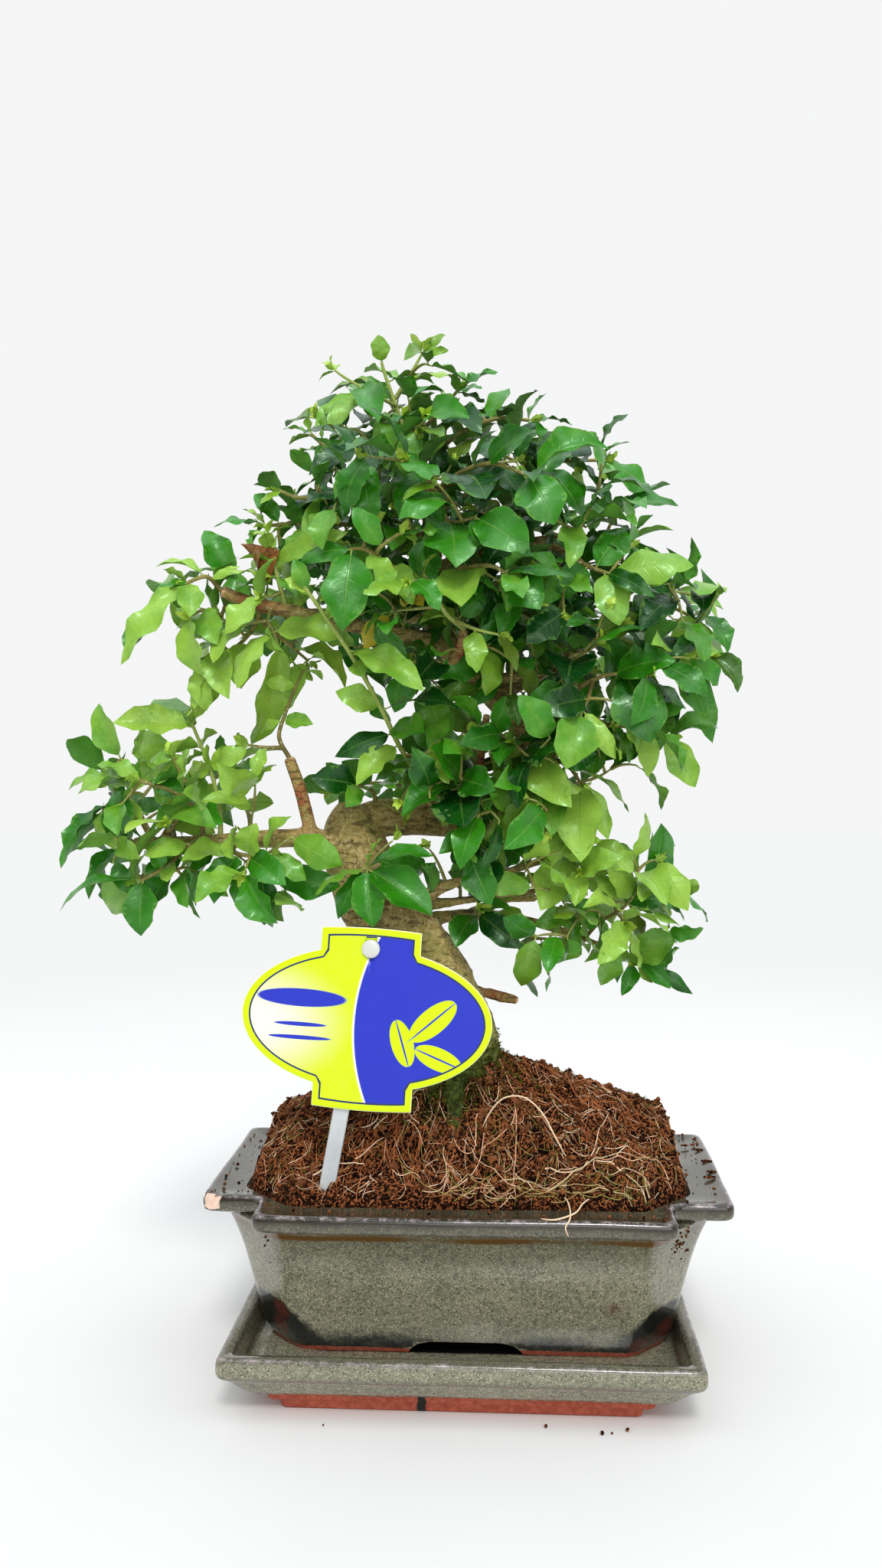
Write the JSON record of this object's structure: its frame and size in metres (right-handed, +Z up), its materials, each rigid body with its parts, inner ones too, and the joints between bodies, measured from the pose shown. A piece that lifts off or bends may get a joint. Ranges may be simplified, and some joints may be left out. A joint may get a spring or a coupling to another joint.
{
  "type": "potted bonsai tree",
  "caption": "Small-leaved privet bonsai with a curved trunk, in a glazed rectangular pot that stands on a glazed saucer, with an oval care tag on a stake.",
  "frame": {"origin": "centre of the saucer's flat base, on the floor", "axes": "+Z up, the front with the care tag towards -Y, the lower foliage reaching towards -X"},
  "size_m": [0.2723, 0.1739, 0.4111],
  "materials": {
    "glaze": "speckled olive-grey stoneware glaze, glossy",
    "screen": "dark plastic mesh",
    "soil": "reddish-brown peat with pale root fibres",
    "bark": "smooth grey-olive bark with small pale dots",
    "leaf": "glossy mid to dark green leaf",
    "young_leaf": "soft yellow-green young leaf",
    "tag": "printed thin plastic card",
    "stake": "translucent white plastic"
  },
  "bodies": {
    "root": {"saucer": "glaze", "pot": "glaze", "drain_screen_left": "screen", "drain_screen_right": "screen", "soil": "soil", "trunk": "bark", "care_tag": "tag", "tag_stake": "stake", "spray_left_end": "leaf", "spray_left_low": "leaf", "spray_left_hang": "leaf", "spray_left_shoot_outer": "leaf", "spray_left_shoot_inner": "young_leaf", "spray_left_back_outer": "leaf", "spray_left_back_inner": "leaf", "spray_left_fork": "leaf", "spray_stub_twig": "leaf", "spray_high_end": "leaf", "spray_high_top": "young_leaf", "spray_high_under": "young_leaf", "spray_front_left": "leaf", "spray_long_shoot": "leaf", "spray_second_shoot": "young_leaf", "spray_crown_top": "young_leaf", "spray_crown_right": "leaf", "spray_crown_left": "leaf", "spray_dome_left": "leaf", "spray_dome_left_low": "leaf", "spray_dome_right_top": "leaf", "spray_dome_right": "leaf", "spray_dome_front": "leaf", "spray_middle_front": "leaf", "spray_right_up": "leaf", "spray_right_high": "leaf", "spray_right_far": "leaf", "spray_right_middle": "leaf", "spray_right_front": "leaf", "spray_bend_right": "leaf", "spray_bend_front": "leaf", "spray_centre_front": "leaf", "spray_centre_hang": "leaf", "spray_trunk_front": "leaf", "spray_bend_left": "leaf", "spray_low_near": "leaf", "spray_low_upper": "leaf", "spray_low_middle": "leaf", "spray_low_right": "leaf", "spray_back_low_end": "leaf", "spray_back_low_left": "leaf", "spray_back_low_right": "leaf", "spray_back_middle_end": "leaf", "spray_back_middle_right": "leaf", "spray_back_left_end": "leaf", "spray_back_left_inner": "leaf", "spray_back_high_end": "leaf", "spray_back_high_right": "leaf", "spray_back_top": "leaf", "spray_back_right_low": "leaf"}
  },
  "joints": []
}
